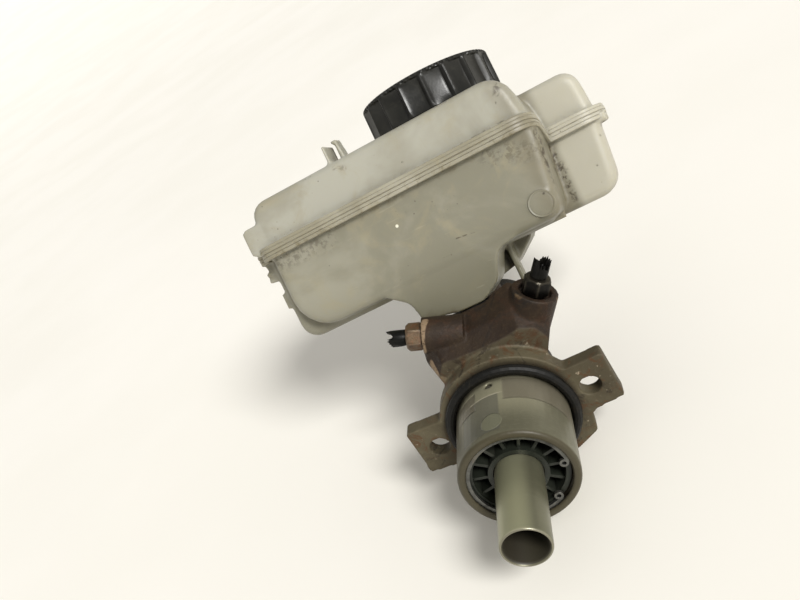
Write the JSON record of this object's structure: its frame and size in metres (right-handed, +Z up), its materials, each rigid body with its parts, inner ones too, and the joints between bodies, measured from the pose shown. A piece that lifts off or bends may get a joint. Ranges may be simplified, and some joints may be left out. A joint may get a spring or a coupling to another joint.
{
  "type": "brake master cylinder",
  "caption": "Tandem brake master cylinder with a translucent two-piece plastic fluid reservoir, screw cap, flanged casting and a protruding hollow piston.",
  "frame": {"origin": "on the bore axis, in the rear face of the mounting flange that bolts to the vacuum booster", "axes": "+Y forward along the bore to its closed end, +Z up from the bore to the reservoir, +X along the line of the mounting ears; the reservoir's own up axis leans forward by 25 degrees"},
  "size_m": [0.218, 0.2516, 0.1949],
  "materials": {
    "cast_body": "as cast and machined, stained brown",
    "steel": "plain steel",
    "piston_metal": "hard anodised, grey green",
    "rubber": "matt black",
    "black_plastic": "dull black",
    "reservoir_plastic": "aged translucent polypropylene, dirty",
    "rusty_steel": "rusty",
    "black_steel": "black coated",
    "terminal_brass": "plain"
  },
  "bodies": {
    "housing": {"cylinder_body": "cast_body", "flange_o_ring": "rubber", "piston_guide": "black_plastic", "circlip": "steel", "vacuum_seal": "rubber", "supply_sleeve": "steel", "primary_cup": "rubber", "secondary_rear_cup": "rubber", "secondary_cup": "rubber", "supply_hole_plug": "steel", "reservoir_lower": "reservoir_plastic", "reservoir_upper": "reservoir_plastic", "grommet_rear": "rubber", "grommet_front": "rubber", "reservoir_pin": "steel", "pipe_nut_left": "rusty_steel", "pipe_nut_right": "black_steel", "pipe_stub_left": "black_steel", "pipe_stub_right": "black_steel", "level_sensor": "black_plastic", "sensor_terminal_a": "terminal_brass", "sensor_terminal_b": "terminal_brass"},
    "primary": {"primary_piston": "piston_metal", "captive_screw": "steel", "primary_spring": "steel"},
    "secondary": {"secondary_piston": "piston_metal", "spring_retainer": "steel", "secondary_spring": "steel"},
    "cap_seal": {"cap_seal": "rubber"},
    "cap": {"filler_cap": "black_plastic"},
    "float": {"level_float": "black_plastic"}
  },
  "joints": [
    {"name": "primary_slide", "type": "slide", "parent": "housing", "child": "primary", "axis": [0, 1, 0], "range_m": [0, 0.032], "stiffness_N_per_m": 1200, "springref_m": -0.04, "deforming": ["primary_spring"]},
    {"name": "secondary_slide", "type": "slide", "parent": "housing", "child": "secondary", "axis": [0, 1, 0], "range_m": [0, 0.015], "deforming": ["secondary_spring"]},
    {"name": "cap_lift", "type": "slide", "parent": "housing", "child": "cap_seal", "axis": [0, 0.4226, 0.9063], "range_m": [0, 0.0101]},
    {"name": "cap_turn", "type": "hinge", "parent": "cap_seal", "child": "cap", "pos_m": [0.0237, 0.11937, 0.12419], "axis": [0, 0.4226, 0.9063], "range_deg": [0, 450]},
    {"name": "float_slide", "type": "slide", "parent": "housing", "child": "float", "axis": [0, 0.4226, 0.9063], "range_m": [0, 0.022]}
  ],
  "couplings": [
    {"joint": "secondary_slide", "follows": "primary_slide", "ratio": 0.46875},
    {"joint": "cap_lift", "follows": "cap_turn", "m_per_rad": 0.0012732}
  ]
}
